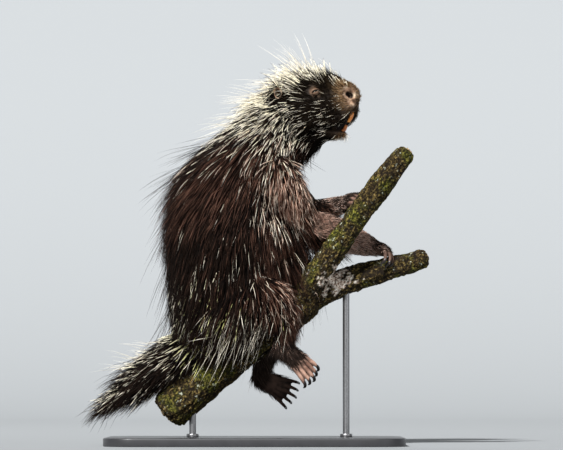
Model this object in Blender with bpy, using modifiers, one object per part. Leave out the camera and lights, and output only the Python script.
# North American porcupine astride a forked limb, life size, as a still display model.
# Metres, +Z up. The animal faces +X, its left side is +Y, and the origin is the middle of
# the underside of the stand's base. Sizes in the tables are millimetres.

import math
import random
from collections import namedtuple

import bmesh
import bpy
import numpy as np
from mathutils import Matrix, Vector
from mathutils.bvhtree import BVHTree

MM = 0.001
GAP = 0.0004
SLICE_GAP = 0.0003
SHARPEST_GROWTH = 1.6
FLAT_ANGLE = 1.0
FAR = 0.9
CAGE_SIDES = 8
SMALL_CAGE_SIDES = 6
SLIM_SIDES = 8
TAIL_SIDES = 10
SEED = 41

SIDES = {"right": -1, "left": 1}
SIDE = Vector((0, 1, 0))
UP = Vector((0, 0, 1))
DOWN = Vector((0, 0, -1))

# A ring of a soft form: its centre, half its depth and half its width.
Ring = namedtuple("Ring", "x y z deep wide")

# The body from the rump up to the nape, skin and half of the coat's depth.
BODY = [
    Ring(-46, 0, 156, 66, 72),
    Ring(-43, 0, 193, 82, 86),
    Ring(-37, 0, 235, 92, 92),
    Ring(-33, 0, 283, 95, 92),
    Ring(-30, 0, 326, 97, 87),
    Ring(-24, 0, 370, 92, 79),
    Ring(1, 0, 412, 70, 68),
    Ring(24, 0, 450, 54, 57),
    Ring(42, 0, 480, 44, 49),
    Ring(66, 0, 498, 38, 40),
]
# Where the body is parted: a point on its axis and the axis's direction there.
HIP_LINE = (Vector((-0.041, 0, 0.222)), Vector((0.05, 0, 1)))
SHOULDER_LINE = (Vector((-0.033, 0, 0.340)), Vector((0.15, 0, 1)))
NECK_LINE = (Vector((0.004, 0, 0.421)), Vector((0.5, 0, 0.85)))
HEAD_LINE = (Vector((0.040, 0, 0.4775)), Vector((0.75, 0, 0.66)))

TAIL = [
    Ring(-66, 0, 160, 38, 40),
    Ring(-100, 0, 136, 35, 39),
    Ring(-140, 0, 108, 29, 34),
    Ring(-180, 0, 81, 22, 27),
    Ring(-210, 0, 60, 12, 15),
]

# The head in its own frame: X forward from the back of the skull, Z up.
HEAD_PLACE = Vector((0.0406, 0, 0.4886))
HEAD_TURN = math.radians(-24)
HEAD = [
    Ring(-14, 0, -4, 24, 25),
    Ring(6, 0, -5, 39, 37),
    Ring(30, 0, -3, 45, 41),
    Ring(54, 0, 0, 43, 40),
    Ring(76, 0, 5, 36, 33),
    Ring(94, 0, 9, 30, 26),
    Ring(108, 0, 12, 25, 22),
    Ring(117, 0, 13, 17, 16),
]
JAW = [
    Ring(34, 0, -32, 12, 22),
    Ring(54, 0, -35, 14, 23),
    Ring(74, 0, -37, 12.5, 19),
    Ring(87, 0, -39, 8.5, 14),
    Ring(96, 0, -40.5, 5.5, 9),
]
EYE_AHEAD, EYE_HEIGHT, EYE_RADIUS = 0.0595, 0.0160, 0.0065
EYE_SUNK = 0.0035
LID_STEPS = 5
UPPER_INCISOR = [
    (0.100, 0.0027, 0.006),
    (0.1075, 0.0027, -0.006),
    (0.1075, 0.0027, -0.015),
    (0.1030, 0.0025, -0.0235),
]
UPPER_INCISOR_RADII = [0.0026, 0.0026, 0.0025, 0.0016]
LOWER_INCISOR = [(0.090, 0.0023, -0.040), (0.0965, 0.0023, -0.0345), (0.1000, 0.0022, -0.0278)]
LOWER_INCISOR_RADII = [0.0022, 0.0022, 0.0014]
LIP_PATH = [
    (0.112, 0.007, 0.002),
    (0.112, 0.008, -0.006),
    (0.105, 0.0115, -0.0150),
    (0.094, 0.015, -0.0200),
    (0.080, 0.019, -0.0200),
]
LIP_RADII = [0.0060, 0.0080, 0.0085, 0.0075, 0.0040]
EAR_AHEAD, EAR_HEIGHT = 0.008, 0.022
EAR_SIZE = Vector((0.0110, 0.0058, 0.0130))
NOSTRIL_FROM = Vector((0.100, 0.006, 0.017))
NOSTRIL_OUT = Vector((1, 0.32, 0.12))
NOSTRIL_SIZE = Vector((0.0042, 0.0030, 0.0046))

# Legs and arms, from the joint inside the body outwards: right ones have -Y.
RIGHT_THIGH = [
    Ring(-48, -52, 184, 44, 34),
    Ring(-22, -62, 196, 46, 34),
    Ring(10, -66, 208, 40, 31),
    Ring(36, -68, 212, 28, 25),
]
RIGHT_SHANK = [
    Ring(34, -66, 206, 24, 22),
    Ring(44, -64, 180, 22, 20),
    Ring(42, -61, 156, 17, 16),
    Ring(42, -59, 140, 14, 14),
]
LEFT_THIGH = [
    Ring(-48, 52, 180, 44, 34),
    Ring(-24, 62, 186, 45, 34),
    Ring(4, 66, 184, 38, 30),
    Ring(22, 68, 178, 28, 24),
]
LEFT_SHANK = [
    Ring(20, 67, 172, 24, 21),
    Ring(18, 65, 146, 21, 19),
    Ring(10, 61, 120, 16, 15),
    Ring(8, 58, 102, 14, 13),
]
RIGHT_UPPER_ARM = [
    Ring(22, -44, 396, 34, 26),
    Ring(40, -50, 372, 33, 25),
    Ring(60, -44, 344, 24, 21),
    Ring(72, -36, 326, 18, 18),
]
RIGHT_FOREARM = [
    Ring(70, -34, 326, 20, 18),
    Ring(96, -16, 313, 23, 19),
    Ring(128, -2, 301, 24, 19),
    Ring(154, 6, 292, 20, 17),
    Ring(172, 9, 286, 15, 15),
]
LEFT_UPPER_ARM = [
    Ring(24, 44, 394, 33, 26),
    Ring(42, 50, 374, 30, 24),
    Ring(66, 52, 352, 22, 20),
    Ring(82, 50, 340, 18, 18),
]
LEFT_FOREARM = [
    Ring(80, 49, 340, 18, 17),
    Ring(100, 36, 342, 18, 16),
    Ring(122, 14, 347, 15, 14),
    Ring(134, -2, 351, 13, 12),
]

# The limb and its two forks, at the thickness of their bark.
LIMB = [
    Ring(-133, 0, 42, 32, 32),
    Ring(-72, 0, 96, 33, 32),
    Ring(-7, 0, 149, 31, 32),
    Ring(44, 0, 188, 32, 33),
    Ring(72, 0, 208, 29, 30),
    Ring(86, 0, 216, 22, 24),
]
HIGH_FORK = [
    Ring(60, -2, 196, 22, 22),
    Ring(84, -20, 236, 22, 22),
    Ring(130, -45, 303, 19, 20),
    Ring(178, -60, 370, 20, 19),
    Ring(222, -68, 425, 17, 17),
]
LOW_FORK = [
    Ring(60, 2, 204, 24, 24),
    Ring(96, 5, 222, 24, 24),
    Ring(138, 8, 240, 22, 22),
    Ring(196, 12, 256, 19, 19),
    Ring(254, 17, 273, 17, 17),
]
LIMB_SIDES = 11
LIMB_STEPS = 2
BARK_ROUGHNESS = 0.05

BASE_SIZE = Vector((0.430, 0.250, 0.012))
BASE_CORNER = 0.045
ROD_RADIUS = 0.005
ROD_SIDES = 10
ROD_SINK = 0.006
ROD_FEET = {"stand_rod_low": Vector((-0.090, 0, 0)), "stand_rod_high": Vector((0.132, 0.0075, 0))}
ROD_TOPS = {"stand_rod_low": 0.058, "stand_rod_high": 0.228}

FINISHES = {
    "dark_fur": ((0.022, 0.016, 0.014), 0.75, 0.0),
    "face_fur": ((0.075, 0.050, 0.038), 0.75, 0.0),
    "foot_skin": ((0.055, 0.036, 0.030), 0.60, 0.0),
    "eye": ((0.008, 0.006, 0.005), 0.08, 0.0),
    "incisor": ((0.72, 0.25, 0.03), 0.35, 0.0),
    "bark": ((0.13, 0.105, 0.075), 0.90, 0.0),
    "base_lacquer": ((0.05, 0.05, 0.052), 0.45, 0.0),
    "rod_steel": ((0.35, 0.35, 0.36), 0.35, 1.0),
}

# The two forms that the coat is made of: how far along they have a ring and how full it is
# there, before the point that they end in, and the number of their sides.
Form = namedtuple("Form", "stations fullness sides")
LOCK = Form((0, 0.38, 0.74), (0.60, 1.0, 0.72), 4)
QUILL = Form((0, 0.50), (0.80, 1.0), 3)
# A zone of the coat: the node that it grows from, the path that it lies along, its pieces'
# form and number, their length, half width and half thickness in mm, the degrees that they
# stand off the skin and lose again towards the tip, how much they fall, and the side that
# they grow on: a direction and how far the skin may turn from it, as the least cosine.
Zone = namedtuple("Zone", "node path form count length wide thick lift curl fall side least")
ALL_ROUND = (Vector((1, 0, 0)), -1.1)
BACK = (Vector((-1, 0, 0.2)), -0.1)
COAT = [
    Zone("forearm_right", "right_forearm", LOCK, 7, 34, 5.0, 1.1, 12, 6, 0.3, *ALL_ROUND),
    Zone("forearm_left", "left_forearm", LOCK, 7, 32, 5.0, 1.1, 12, 6, 0.3, *ALL_ROUND),
    Zone("upper_arm_right", "right_arm", LOCK, 11, 50, 6.5, 1.3, 13, 6, 0.4, *ALL_ROUND),
    Zone("upper_arm_left", "left_arm", LOCK, 10, 50, 6.5, 1.3, 13, 6, 0.4, *ALL_ROUND),
    Zone("shank_right", "right_shank", LOCK, 7, 36, 5.5, 1.2, 13, 6, 0.3, *ALL_ROUND),
    Zone("shank_left", "left_shank", LOCK, 7, 36, 5.5, 1.2, 13, 6, 0.3, *ALL_ROUND),
    Zone("thigh_right", "right_thigh", LOCK, 12, 62, 7.0, 1.3, 19, 8, 1.1, *ALL_ROUND),
    Zone("thigh_right", "right_thigh", QUILL, 8, 68, 1.0, 1.0, 28, 8, 1.1, *ALL_ROUND),
    Zone("thigh_left", "left_thigh", LOCK, 11, 60, 7.0, 1.3, 19, 8, 1.1, *ALL_ROUND),
    Zone("tail", "tail", LOCK, 8, 44, 6.0, 1.2, 16, 4, 0.1, Vector((0, 0, -1)), 0.1),
    Zone("tail", "tail", QUILL, 48, 54, 1.1, 1.1, 34, 6, 0.1, Vector((-0.4, 0, 1)), -0.3),
    Zone("rump", "body", LOCK, 15, 72, 7.5, 1.4, 15, 8, 0.5, *ALL_ROUND),
    Zone("rump", "body", QUILL, 24, 66, 1.1, 1.1, 26, 6, 0.4, *BACK),
    Zone("trunk", "body", LOCK, 36, 86, 7.5, 1.5, 17, 9, 0.4, *ALL_ROUND),
    Zone("trunk", "body", QUILL, 10, 72, 1.0, 1.0, 24, 6, 0.3, *BACK),
    Zone("chest", "body", LOCK, 30, 80, 7.0, 1.5, 15, 9, 0.4, *ALL_ROUND),
    Zone("chest", "body", QUILL, 16, 70, 1.0, 1.0, 28, 8, 0.2, *BACK),
    Zone("neck", "body", LOCK, 12, 56, 6.5, 1.4, 17, 8, 0.3, *BACK),
    Zone("neck", "body", LOCK, 5, 40, 6.0, 1.3, 17, 8, 0.6, Vector((1, 0, -0.3)), 0.3),
    Zone("neck", "body", QUILL, 22, 58, 1.0, 1.0, 32, 10, 0.2, *BACK),
    Zone("jaw", "head", LOCK, 3, 26, 5.0, 1.1, 14, 6, 0.4, Vector((-0.3, 0, -1)), 0.4),
    Zone("head", "head", QUILL, 30, 36, 0.9, 0.9, 48, 10, 0, Vector((-0.25, 0, 1)), 0.25),
    Zone("head", "head", QUILL, 8, 80, 0.8, 0.8, 60, 12, 0, Vector((-0.5, 0, 1)), 0.6),
]
COAT_SINK = 6.5
COAT_VARIETY = 0.16
COAT_STRAY = 9
COAT_CLEAR = 0.00035
ROOT_CLEAR = 0.008
ROOT_APART = 0.004
DRAWS = 60
FACE_FROM = 0.078
TRIES = 5
TRY_LIFT, TRY_LENGTH = 4, 0.84


def clear_scene():
    for obj in list(bpy.data.objects):
        bpy.data.objects.remove(obj)


def new_collection(name, hidden=False):
    collection = bpy.data.collections.new(name)
    collection.hide_render = hidden
    bpy.context.scene.collection.children.link(collection)
    return collection


def make_material(name):
    colour, roughness, metallic = FINISHES[name]
    material = bpy.data.materials.new(name)
    material.use_nodes = True
    shader = material.node_tree.nodes["Principled BSDF"]
    shader.inputs["Base Color"].default_value = (*colour, 1)
    shader.inputs["Roughness"].default_value = roughness
    shader.inputs["Metallic"].default_value = metallic
    material.diffuse_color = (*colour, 1)
    return material


def object_from(name, mesh, collection, finish=None):
    obj = bpy.data.objects.new(name, mesh)
    collection.objects.link(obj)
    if finish:
        mesh.materials.append(bpy.data.materials[finish])
    return obj


def mesh_from(name, bm):
    bmesh.ops.recalc_face_normals(bm, faces=bm.faces)
    mesh = bpy.data.meshes.new(name)
    bm.to_mesh(mesh)
    bm.free()
    return mesh


def ring_frame(centres, index, side):
    """The path's direction at a ring, its width axis and its depth axis."""
    before = centres[max(index - 1, 0)]
    after = centres[min(index + 1, len(centres) - 1)]
    along = (after - before).normalized()
    across = (side - along * side.dot(along)).normalized()
    return along, across, across.cross(along)


def loft(name, rings, side=SIDE, sides=CAGE_SIDES, grow=0.0, swell=1.0, domed=0.45):
    """Rings of corners round a path, closed at each end: by a point past it, or flat where domed is 0."""
    centres = [Vector((r.x, r.y, r.z)) * MM for r in rings]
    bm = bmesh.new()
    loops = []
    for index, ring in enumerate(rings):
        _, across, depth = ring_frame(centres, index, side)
        deep = ring.deep * MM * swell + grow
        wide = ring.wide * MM * swell + grow
        loops.append([
            bm.verts.new(
                centres[index]
                + depth * (deep * math.cos(math.tau * k / sides))
                + across * (wide * math.sin(math.tau * k / sides))
            )
            for k in range(sides)
        ])
    for lower, upper in zip(loops, loops[1:]):
        for k in range(sides):
            bm.faces.new((lower[k], lower[(k + 1) % sides], upper[(k + 1) % sides], upper[k]))
    for index, sign in ((0, -1), (len(rings) - 1, 1)):
        if not domed:
            bm.faces.new(loops[index])
            continue
        along, _, _ = ring_frame(centres, index, side)
        reach = min(rings[index].deep, rings[index].wide) * MM * domed + grow
        pole = bm.verts.new(centres[index] + along * sign * reach)
        for k in range(sides):
            bm.faces.new((loops[index][k], loops[index][(k + 1) % sides], pole))
    return mesh_from(name, bm)


def soft_form(name, rings, collection, finish=None, side=SIDE, sides=CAGE_SIDES, grow=0.0, domed=0.45):
    """A smooth form through the rings. The cage is larger, by what Subdivision Surface draws in."""
    swell = 1 / (0.75 + 0.25 * math.cos(math.tau / sides))
    obj = object_from(name, loft(name, rings, side, sides, grow, swell, domed), collection, finish)
    smooth = obj.modifiers.new("smooth", "SUBSURF")
    smooth.levels = smooth.render_levels = 1
    return obj


def tube_mesh(name, points, radii, side=SIDE, sides=6, flat=1.0):
    """A tapered tube through the points. flat is its thickness over its width."""
    rings = [Ring(*(p / MM), r / MM * flat, r / MM) for p, r in zip(points, radii)]
    return loft(name, rings, side, sides)


def smooth_rings(rings, steps):
    """Rings on a smooth curve through the given ones, with steps of them from each to the next."""
    table = np.array(rings, float)
    padded = np.vstack([2 * table[0] - table[1], table, 2 * table[-1] - table[-2]])
    out = []
    for i in range(1, len(padded) - 2):
        a, b, c, d = padded[i - 1 : i + 3]
        for t in np.arange(steps) / steps:
            bend, twist = 2 * a - 5 * b + 4 * c - d, 3 * b - a - 3 * c + d
            out.append(0.5 * (2 * b + (c - a) * t + bend * t**2 + twist * t**3))
    return [Ring(*row) for row in out + [table[-1]]]


def evaluated_mesh(obj):
    graph = bpy.context.evaluated_depsgraph_get()
    graph.update()
    return bpy.data.meshes.new_from_object(obj.evaluated_get(graph))


def apply_all(obj):
    """Turns an object's modifiers, place and turn into its own mesh, of triangles."""
    bpy.context.view_layer.update()
    mesh = evaluated_mesh(obj)
    mesh.transform(obj.matrix_world)
    bm = bmesh.new()
    bm.from_mesh(mesh)
    bmesh.ops.triangulate(bm, faces=bm.faces)
    bm.to_mesh(mesh)
    bm.free()
    obj.modifiers.clear()
    obj.data = mesh
    obj.matrix_world = Matrix.Identity(4)
    return obj


def merge_flat_faces(obj):
    """Joins the slivers that cuts leave on a flat face, and divides each face anew."""
    bm = bmesh.new()
    bm.from_mesh(obj.data)
    bmesh.ops.dissolve_limit(bm, angle_limit=math.radians(FLAT_ANGLE), verts=bm.verts, edges=bm.edges)
    bmesh.ops.triangulate(bm, faces=bm.faces)
    bm.to_mesh(obj.data)
    bm.free()


def keep_largest(obj):
    """Drops scraps that a cut left loose."""
    bm = bmesh.new()
    bm.from_mesh(obj.data)
    bodies = []
    left = set(bm.verts)
    while left:
        body, front = set(), [left.pop()]
        while front:
            vert = front.pop()
            body.add(vert)
            for edge in vert.link_edges:
                other = edge.other_vert(vert)
                if other in left:
                    left.remove(other)
                    front.append(other)
        bodies.append(body)
    bodies.sort(key=lambda body: spread(body), reverse=True)
    doomed = [vert for body in bodies[1:] for vert in body]
    bmesh.ops.delete(bm, geom=doomed, context="VERTS")
    bm.to_mesh(obj.data)
    bm.free()


def spread(verts):
    points = np.array([v.co for v in verts])
    return float(np.prod(points.max(0) - points.min(0) + MM))


def grown_copy(obj, gap, cutters):
    """A hidden copy of an object, larger by the gap, for cutting its place out of a neighbour."""
    copy = object_from(obj.name + "_room", obj.data.copy(), cutters)
    copy.hide_render = True
    copy.display_type = "WIRE"
    bm = bmesh.new()
    bm.from_mesh(copy.data)
    bm.normal_update()
    for vert in bm.verts:
        vert.co += vert.normal * gap * min(vert.calc_shell_factor(), SHARPEST_GROWTH)
    bm.to_mesh(copy.data)
    bm.free()
    return copy


def cut_by(obj, tools, cutters, gap=GAP, solver="MANIFOLD"):
    """Cuts room for each tool out of an object, a gap larger than the tool."""
    for tool in tools:
        room = grown_copy(tool, gap, cutters)
        cut = obj.modifiers.new("room_for_" + tool.name, "BOOLEAN")
        cut.operation = "DIFFERENCE"
        cut.solver = solver
        cut.object = room
        apply_all(obj)
        bpy.data.objects.remove(room)
    keep_largest(obj)


def slice_off(obj, line, keep_below, cutters):
    """Cuts an object at a plane across the body and keeps the part below or above it."""
    point, axis = line
    away = axis.normalized() * (1 if keep_below else -1)
    bm = bmesh.new()
    bmesh.ops.create_cube(bm, size=FAR)
    room = object_from("slice", mesh_from("slice", bm), cutters)
    centre = point + away * (FAR / 2 - SLICE_GAP / 2)
    room.matrix_world = Matrix.Translation(centre) @ away.to_track_quat("Z", "Y").to_matrix().to_4x4()
    room.hide_render = True
    cut = obj.modifiers.new("slice", "BOOLEAN")
    cut.operation = "DIFFERENCE"
    cut.solver = "EXACT"
    cut.object = room
    apply_all(obj)
    bpy.data.objects.remove(room)


def join_pieces(core, pieces):
    """Joins a collection of closed pieces to an object as one closed body."""
    if not len(pieces.objects):
        return
    join = core.modifiers.new("join", "BOOLEAN")
    join.operation = "UNION"
    join.operand_type = "COLLECTION"
    join.collection = pieces
    join.solver = "MANIFOLD"
    apply_all(core)
    for piece in list(pieces.objects):
        bpy.data.objects.remove(piece)
    keep_largest(core)


def surface_of(obj):
    return BVHTree.FromPolygons(
        [v.co for v in obj.data.vertices], [p.vertices for p in obj.data.polygons]
    )


class Model:
    """The nodes as they are made, with the collections that hold them."""

    def __init__(self):
        self.parts = new_collection("porcupine")
        self.cutters = new_collection("cutters", hidden=True)
        self.pieces = new_collection("pieces", hidden=True)
        self.nodes = {}

    def form(self, name, rings, finish, **shape):
        obj = soft_form(name, rings, self.parts, finish, **shape)
        self.nodes[name] = apply_all(obj)
        return obj

    def slim_form(self, name, rings, finish, side=SIDE, sides=SLIM_SIDES):
        """A form that the coat covers, straight from its rings and those halfway between them."""
        obj = object_from(name, loft(name, smooth_rings(rings, 2), side, sides), self.parts, finish)
        self.nodes[name] = apply_all(obj)

    def cut(self, name, *tools):
        cut_by(self.nodes[name], [self.nodes[t] for t in tools], self.cutters)


def make_perch(model):
    """The limb and its forks: each fork's root sits in the limb."""
    chance = random.Random(SEED)
    for name, rings in (("perch_limb", LIMB), ("perch_high_fork", HIGH_FORK), ("perch_low_fork", LOW_FORK)):
        rings = [
            r._replace(
                deep=r.deep * (1 + chance.uniform(-BARK_ROUGHNESS, BARK_ROUGHNESS)),
                wide=r.wide * (1 + chance.uniform(-BARK_ROUGHNESS, BARK_ROUGHNESS)),
            )
            for r in smooth_rings(rings, LIMB_STEPS)
        ]
        mesh = loft(name, rings, sides=LIMB_SIDES, domed=0)
        model.nodes[name] = apply_all(object_from(name, mesh, model.parts, "bark"))
    model.cut("perch_limb", "perch_high_fork", "perch_low_fork")
    model.cut("perch_low_fork", "perch_high_fork")


def make_stand(model):
    """A flat base with rounded corners, and two rods up into the limb and the low fork."""
    bm = bmesh.new()
    bmesh.ops.create_cube(bm, size=1)
    bmesh.ops.scale(bm, vec=BASE_SIZE, verts=bm.verts)
    bmesh.ops.translate(bm, vec=(0, 0, BASE_SIZE.z / 2), verts=bm.verts)
    corners = [e for e in bm.edges if abs(e.verts[0].co.z - e.verts[1].co.z) > BASE_SIZE.z / 2]
    bmesh.ops.bevel(bm, geom=corners, offset=BASE_CORNER, segments=4, affect="EDGES", profile=0.5)
    base = object_from("stand_base", mesh_from("stand_base", bm), model.parts, "base_lacquer")
    model.nodes["stand_base"] = base
    for name, foot in ROD_FEET.items():
        low = BASE_SIZE.z - ROD_SINK
        high = ROD_TOPS[name]
        bm = bmesh.new()
        bmesh.ops.create_cone(
            bm, cap_ends=True, segments=ROD_SIDES, radius1=ROD_RADIUS, radius2=ROD_RADIUS, depth=high - low
        )
        bmesh.ops.translate(bm, vec=foot + UP * (low + high) / 2, verts=bm.verts)
        model.nodes[name] = object_from(name, mesh_from(name, bm), model.parts, "rod_steel")
    model.cut("stand_base", *ROD_FEET)
    model.cut("perch_limb", "stand_rod_low")
    model.cut("perch_low_fork", "stand_rod_high")


def in_head(point):
    """A point of the head's own frame, in the part's frame."""
    return HEAD_PLACE + Matrix.Rotation(HEAD_TURN, 3, "Z") @ point


def from_head(point):
    """A point of the part's frame, in the head's own frame."""
    return Matrix.Rotation(-HEAD_TURN, 3, "Z") @ (point - HEAD_PLACE)


def head_direction(vector):
    return (Matrix.Rotation(HEAD_TURN, 3, "Z") @ vector).normalized()


def place_in_head(obj):
    obj.rotation_euler.z = HEAD_TURN
    obj.location = HEAD_PLACE
    return apply_all(obj)


def sphere_mesh(name, size, segments=8, rings=6):
    bm = bmesh.new()
    bmesh.ops.create_uvsphere(bm, u_segments=segments, v_segments=rings, radius=1)
    bmesh.ops.scale(bm, vec=size, verts=bm.verts)
    return mesh_from(name, bm)


def add_piece(model, mesh, matrix=None):
    piece = object_from(mesh.name, mesh, model.pieces)
    if matrix is not None:
        piece.matrix_world = matrix
    return apply_all(piece)


def make_head(model):
    """The skull with its muzzle, eyes, ears, nostrils, lips and incisors, and the lower jaw."""
    for name, rings in (("head", HEAD), ("jaw", JAW)):
        sides = CAGE_SIDES if name == "head" else SMALL_CAGE_SIDES
        obj = soft_form(name, rings, model.parts, "face_fur", sides=sides)
        model.nodes[name] = place_in_head(obj)
    skull = surface_of(model.nodes["head"])
    for sign in SIDES.values():
        make_lip(model, sign)
    join_pieces(model.nodes["head"], model.pieces)
    for side_name, sign in SIDES.items():
        make_eye(model, skull, side_name, sign)
        make_ear(model, skull, side_name, sign)
        bore_nostril(model, skull, sign)
        make_incisors(model, side_name, sign)
    slice_off(model.nodes["head"], HEAD_LINE, False, model.cutters)
    model.cut("jaw", "incisor_lower_left", "incisor_lower_right")
    for sign in SIDES.values():
        make_lids(model, skull, sign)
    join_pieces(model.nodes["head"], model.pieces)
    model.cut("head", "jaw", "incisor_upper_left", "incisor_upper_right")
    model.cut("head", "eye_left", "eye_right", "ear_left", "ear_right")


def eye_place(skull, sign):
    """Where the eye's middle is, and the way that it looks out."""
    inside = in_head(Vector((EYE_AHEAD, 0, EYE_HEIGHT)))
    out = head_direction(Vector((0.18, sign, 0.1)))
    hit, _, _, _ = skull.ray_cast(inside, out)
    return hit - out * EYE_SUNK, out


def make_eye(model, skull, side_name, sign):
    centre, _ = eye_place(skull, sign)
    name = "eye_" + side_name
    obj = object_from(name, sphere_mesh(name, Vector((1, 1, 1)) * EYE_RADIUS), model.parts, "eye")
    obj.location = centre
    model.nodes[name] = apply_all(obj)


def make_lids(model, skull, sign):
    """An upper and a lower lid: two rolls that meet at the corners of the eye."""
    centre, out = eye_place(skull, sign)
    ahead = head_direction(Vector((1, 0, 0)))
    ahead = (ahead - out * ahead.dot(out)).normalized()
    rise = out.cross(ahead) * (1 if out.cross(ahead).z > 0 else -1)
    for lift, thickness in ((1, 0.0023), (-1, 0.0020)):
        points, radii = [], []
        for step in range(LID_STEPS + 1):
            angle = math.pi * step / LID_STEPS
            reach = EYE_RADIUS + 0.0026
            points.append(
                centre
                + ahead * (reach * 1.12 * math.cos(angle))
                + rise * (lift * reach * 0.80 * math.sin(angle))
                + out * (0.0012 + 0.0022 * math.sin(angle))
            )
            radii.append(thickness * (0.75 + 0.25 * math.sin(angle)))
        add_piece(model, tube_mesh("lid", points, radii, side=out, sides=4))


def make_ear(model, skull, side_name, sign):
    """A small round cup, open forwards and outwards, its root sunk in the head."""
    inside = in_head(Vector((EAR_AHEAD, 0, 0.002)))
    out = head_direction(Vector((0, sign, (EAR_HEIGHT - 0.002) / 0.034)))
    hit, _, _, _ = skull.ray_cast(inside, out)
    name = "ear_" + side_name
    mesh = sphere_mesh(name, EAR_SIZE)
    obj = object_from(name, mesh, model.parts, "face_fur")
    turn = Matrix.Rotation(HEAD_TURN, 4, "Z") @ Matrix.Rotation(sign * math.radians(-28), 4, "X")
    turn = turn @ Matrix.Rotation(sign * math.radians(28), 4, "Z")
    place = Matrix.Translation(hit + out * 0.006) @ turn
    obj.matrix_world = place
    model.nodes[name] = apply_all(obj)
    hollow = object_from("ear_hollow", sphere_mesh("ear_hollow", EAR_SIZE * 0.74, 8, 5), model.cutters)
    hollow.matrix_world = place @ Matrix.Translation(Vector((0.0025, sign * 0.0040, 0.0015)))
    apply_all(hollow)
    cut = obj.modifiers.new("cup", "BOOLEAN")
    cut.operation = "DIFFERENCE"
    cut.object = hollow
    apply_all(obj)
    bpy.data.objects.remove(hollow)


def bore_nostril(model, skull, sign):
    flip = Vector((1, sign, 1))
    hit, _, _, _ = skull.ray_cast(in_head(NOSTRIL_FROM * flip), head_direction(NOSTRIL_OUT * flip))
    room = object_from("nostril", sphere_mesh("nostril", NOSTRIL_SIZE, 7, 4), model.cutters)
    room.matrix_world = Matrix.Translation(hit) @ Matrix.Rotation(HEAD_TURN + sign * 0.3, 4, "Z")
    apply_all(room)
    cut = model.nodes["head"].modifiers.new("nostril", "BOOLEAN")
    cut.operation = "DIFFERENCE"
    cut.object = room
    apply_all(model.nodes["head"])
    bpy.data.objects.remove(room)


def make_lip(model, sign):
    """One half of the cleft upper lip, a pad from below the nostril back to the mouth's corner."""
    points = [in_head(Vector((u, sign * v, w))) for u, v, w in LIP_PATH]
    add_piece(model, tube_mesh("lip", points, LIP_RADII, side=head_direction(SIDE), sides=7))


def make_incisors(model, side_name, sign):
    """An upper and a lower incisor, each a curved chisel rooted in its jaw."""
    for name, path, radii in (
        ("incisor_upper_" + side_name, UPPER_INCISOR, UPPER_INCISOR_RADII),
        ("incisor_lower_" + side_name, LOWER_INCISOR, LOWER_INCISOR_RADII),
    ):
        points = [in_head(Vector((u, sign * v, w))) for u, v, w in path]
        mesh = tube_mesh(name, points, radii, side=head_direction(SIDE), sides=6)
        model.nodes[name] = object_from(name, mesh, model.parts, "incisor")


def make_body(model):
    """Rump, trunk, chest and neck, parted across the body, with room for the tail and limbs."""
    cuts = {
        "rump": (None, HIP_LINE),
        "trunk": (HIP_LINE, SHOULDER_LINE),
        "chest": (SHOULDER_LINE, NECK_LINE),
        "neck": (NECK_LINE, HEAD_LINE),
    }
    for name, (low, high) in cuts.items():
        obj = model.form(name, BODY, "dark_fur")
        if low:
            slice_off(obj, low, False, model.cutters)
        slice_off(obj, high, True, model.cutters)
    model.slim_form("tail", TAIL, "dark_fur", sides=TAIL_SIDES)


def make_limbs(model):
    for name, rings in (
        ("thigh_right", RIGHT_THIGH),
        ("shank_right", RIGHT_SHANK),
        ("thigh_left", LEFT_THIGH),
        ("shank_left", LEFT_SHANK),
        ("upper_arm_right", RIGHT_UPPER_ARM),
        ("forearm_right", RIGHT_FOREARM),
        ("upper_arm_left", LEFT_UPPER_ARM),
        ("forearm_left", LEFT_FOREARM),
    ):
        model.slim_form(name, rings, "dark_fur")


# A paw: where it joins the leg, the way its toes point, the way its sole faces, the palm's
# length and width, the toes' number, length and first bend, and the whole fan's angle.
Paw = namedtuple("Paw", "joint ahead sole palm wide toes toe bend fan")
PAWS = {
    "foot_right": Paw((39, -59, 140), (0.76, 0.04, -0.65), (-0.30, 0.80, -0.50), 36, 16, 5, 22, 12, 18),
    "foot_left": Paw((8, 58, 98), (0.88, -0.05, -0.47), (-0.10, -0.95, -0.15), 36, 16, 5, 16, 14, 30),
    "hand_right": Paw((172, 9, 286), (0.82, -0.42, -0.28), (0.15, -0.30, -0.95), 24, 14, 4, 17, 80, 22),
    "hand_left": Paw((134, -2, 351), (0.55, -0.78, 0.25), (0.62, -0.10, -0.62), 20, 12, 4, 17, 42, 26),
}
PALM_DEEP = 8
TOE_RADIUS, TOE_SHARES = 0.0042, (0.75, 1.0, 1.0)
CLAW_RADIUS, CLAW_SHARES = 0.0026, (1.25, 0.85, 0.2)
CLAW_LENGTH, CLAW_BEND = 0.012, 80
# How deep the middle toe's root sits in the palm, how much further back the outer toes
# start, both in mm, and the row of roots over the palm's half width.
TOE_SUNK, TOE_ARC, TOE_SPREAD = 5, 9, 1.7


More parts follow.
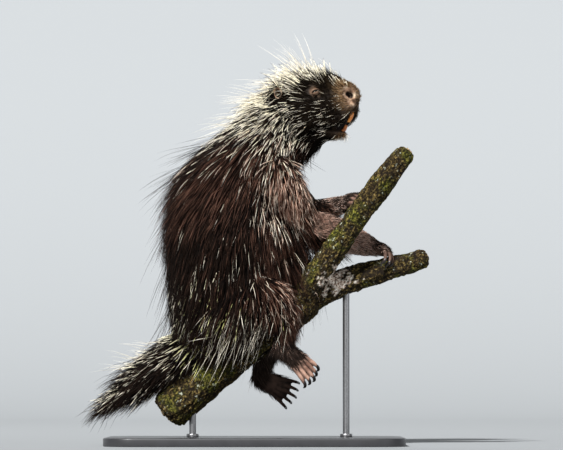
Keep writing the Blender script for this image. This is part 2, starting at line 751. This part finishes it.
def make_paw(model, name):
    """A palm with its toes and claws in one body."""
    paw = PAWS[name]
    joint = Vector(paw.joint)
    ahead = Vector(paw.ahead).normalized()
    sole = Vector(paw.sole)
    sole = (sole - ahead * sole.dot(ahead)).normalized()
    across = ahead.cross(sole)
    palm_rings = [
        Ring(*joint, PALM_DEEP + 2, paw.wide * 0.8),
        Ring(*(joint + ahead * paw.palm * 0.5), PALM_DEEP + 1, paw.wide * 0.95),
        Ring(*(joint + ahead * paw.palm), PALM_DEEP - 1, paw.wide),
    ]
    model.slim_form(name, palm_rings, "foot_skin", side=across)
    for toe in range(paw.toes):
        share = toe / (paw.toes - 1) - 0.5
        spread_angle = math.radians(paw.fan) * share
        reach = paw.palm - TOE_SUNK - TOE_ARC * abs(share)
        start = (joint + ahead * reach + across * (paw.wide * TOE_SPREAD * share)) * MM
        make_toe(model, start, Matrix.Rotation(-spread_angle, 3, sole) @ ahead, sole, across, paw)
    join_pieces(model.nodes[name], model.pieces)


def make_toe(model, start, ahead, sole, across, paw):
    """A toe bent towards the sole, which runs out into its claw."""
    points, way = [start], ahead
    turns = (0, paw.bend / 2, paw.bend / 2, CLAW_BEND / 2, CLAW_BEND / 2)
    lengths = (0.009, paw.toe * MM * 0.45, paw.toe * MM * 0.55, CLAW_LENGTH / 2, CLAW_LENGTH / 2)
    for turn, length in zip(turns, lengths):
        down = (sole - way * sole.dot(way)).normalized()
        way = (way * math.cos(math.radians(turn)) + down * math.sin(math.radians(turn))).normalized()
        points.append(points[-1] + way * length)
    radii = [TOE_RADIUS * share for share in TOE_SHARES] + [CLAW_RADIUS * share for share in CLAW_SHARES]
    add_piece(model, tube_mesh("toe", points, radii, side=across, sides=5))


def fit_together(model):
    """Cuts each node back from what sits in it, so that they meet with a thin gap."""
    perch = ("perch_limb", "perch_high_fork", "perch_low_fork")
    for side_name in SIDES:
        thigh, shank, foot = (part + side_name for part in ("thigh_", "shank_", "foot_"))
        upper, fore, hand = (part + side_name for part in ("upper_arm_", "forearm_", "hand_"))
        model.cut("neck", upper)
        model.cut("chest", upper, fore)
        model.cut("trunk", upper, fore, thigh, shank)
        model.cut("rump", thigh, shank)
        model.cut(upper, fore)
        model.cut(fore, hand, *perch)
        model.cut(hand, *perch)
        model.cut(thigh, shank, foot, *perch)
        model.cut(shank, foot, *perch)
        model.cut(foot, *perch)
    model.cut("tail", *perch)
    model.cut("rump", "tail", *perch)
    model.cut("trunk", *perch)
    model.cut("thigh_right", "tail")
    model.cut("thigh_left", "tail")
    model.cut("neck", "jaw")


def coat_paths():
    """The paths that the coat lies along, each as its points in the coat's own direction."""
    def points(rings):
        return [Vector((r.x, r.y, r.z)) * MM for r in rings]

    return {
        "body": points(BODY)[::-1],
        "tail": points(TAIL),
        "head": [in_head(p) for p in points(HEAD)][::-1],
        "right_thigh": points(RIGHT_THIGH),
        "left_thigh": points(LEFT_THIGH),
        "right_shank": points(RIGHT_SHANK),
        "left_shank": points(LEFT_SHANK),
        "right_arm": points(RIGHT_UPPER_ARM),
        "left_arm": points(LEFT_UPPER_ARM),
        "right_forearm": points(RIGHT_FOREARM),
        "left_forearm": points(LEFT_FOREARM),
    }


def lie_at(point, path, fall):
    """The way that the coat lies at a point: along the nearest part of the path, and down."""
    spans = list(zip(path, path[1:]))
    start, end = min(spans, key=lambda span: (point - (span[0] + span[1]) / 2).length)
    return (end - start).normalized() + DOWN * fall


def all_but(model, name):
    """One surface of all nodes but the named one."""
    corners, faces = [], []
    for other, obj in model.nodes.items():
        if other != name:
            faces += [[len(corners) + v for v in p.vertices] for p in obj.data.polygons]
            corners += [v.co for v in obj.data.vertices]
    return BVHTree.FromPolygons(corners, faces)


def spread_roots(core, neighbours, zone, taken, chance):
    """Places on a node's open skin with their normals, evenly spread and clear of its neighbours."""
    core.data.calc_loop_triangles()
    triangles = list(core.data.loop_triangles)
    areas = [t.area for t in triangles]
    spacing = math.sqrt(sum(areas) / zone.count)
    side = zone.side.normalized()
    roots = []
    for attempt in range(zone.count * DRAWS):
        triangle = chance.choices(triangles, areas)[0]
        a, b, c = (core.data.vertices[v].co for v in triangle.vertices)
        s, t = math.sqrt(chance.random()), chance.random()
        point = a * (1 - s) + b * (s * (1 - t)) + c * (s * t)
        if attempt % (zone.count * 4) == 0:
            spacing *= 0.9
        if triangle.normal.dot(side) < zone.least or neighbours.find_nearest(point, ROOT_CLEAR)[0]:
            continue
        if zone.node == "head" and from_head(point).x > FACE_FROM:
            continue
        if min(((point - p).length for p in taken), default=1) < ROOT_APART:
            continue
        if min(((point - p).length for p, _ in roots), default=1) > spacing:
            roots.append((point, triangle.normal.copy()))
        if len(roots) == zone.count:
            break
    return roots


def coat_piece(zone, root, normal, lie, length, lift, gap=0.0):
    """Corners and faces of one lock or quill, from its sunk root out to its point."""
    form = zone.form
    lie = (lie - normal * lie.dot(normal)).normalized()
    across = lie.cross(normal).normalized()
    steps = (*form.stations, 1.0)
    spot, corners, faces = root, [], []
    for index, fullness in enumerate(form.fullness):
        angle = math.radians(lift - zone.curl * steps[index])
        along = lie * math.cos(angle) + normal * math.sin(angle)
        out = along.cross(across)
        if index == 0:
            spot = root - along * COAT_SINK * MM
        for k in range(form.sides):
            turn = math.tau * k / form.sides
            wide = zone.wide * MM * fullness + gap
            thick = zone.thick * MM * fullness + gap
            corners.append(spot + across * wide * math.cos(turn) + out * thick * math.sin(turn))
        sunk = COAT_SINK * MM if index == 0 else 0
        spot = spot + along * (length * (steps[index + 1] - steps[index]) + sunk)
    corners.append(spot + along * gap)
    last = len(corners) - 1
    for ring in range(len(form.fullness)):
        for k in range(form.sides):
            low, high = ring * form.sides + k, ring * form.sides + (k + 1) % form.sides
            if ring == len(form.fullness) - 1:
                faces.append((low, high, last))
            else:
                faces.append((low, high, high + form.sides))
                faces.append((low, high + form.sides, low + form.sides))
    faces.append(tuple(range(form.sides))[::-1])
    return corners, faces


def grow_zone(model, zone, path, neighbours, taken, chance):
    """Sets one zone's pieces on its node, each raised and shortened until it clears the others."""
    for root, normal in spread_roots(model.nodes[zone.node], neighbours, zone, taken, chance):
        lie = lie_at(root, path, zone.fall)
        lie = Matrix.Rotation(math.radians(chance.uniform(-COAT_STRAY, COAT_STRAY)), 3, normal) @ lie
        length = zone.length * MM * chance.uniform(1 - COAT_VARIETY, 1 + COAT_VARIETY)
        lift = zone.lift * chance.uniform(1 - COAT_VARIETY, 1 + COAT_VARIETY)
        for attempt in range(TRIES):
            shape = (root, normal, lie, length, lift)
            if not neighbours.overlap(BVHTree.FromPolygons(*coat_piece(zone, *shape, gap=COAT_CLEAR))):
                corners, faces = coat_piece(zone, *shape)
                mesh = bpy.data.meshes.new("coat_piece")
                mesh.from_pydata(corners, [], faces)
                bm = bmesh.new()
                bm.from_mesh(mesh)
                bmesh.ops.recalc_face_normals(bm, faces=bm.faces)
                bm.to_mesh(mesh)
                bm.free()
                object_from("coat_piece", mesh, model.pieces)
                taken.append(root)
                break
            length *= TRY_LENGTH
            lift += TRY_LIFT


def grow_coat(model):
    """Covers each node in its zones' locks and quills, and joins them to it."""
    paths = coat_paths()
    chance = random.Random(SEED)
    for name in dict.fromkeys(zone.node for zone in COAT):
        neighbours, taken = all_but(model, name), []
        for zone in COAT:
            if zone.node == name:
                grow_zone(model, zone, paths[zone.path], neighbours, taken, chance)
        join_pieces(model.nodes[name], model.pieces)


def main():
    clear_scene()
    for name in FINISHES:
        make_material(name)
    model = Model()
    make_perch(model)
    make_stand(model)
    make_head(model)
    make_body(model)
    make_limbs(model)
    for name in PAWS:
        make_paw(model, name)
    fit_together(model)
    grow_coat(model)
    for obj in model.nodes.values():
        merge_flat_faces(obj)
    for name, obj in model.nodes.items():
        print(name, len(obj.data.polygons))


if __name__ == "__main__":
    main()
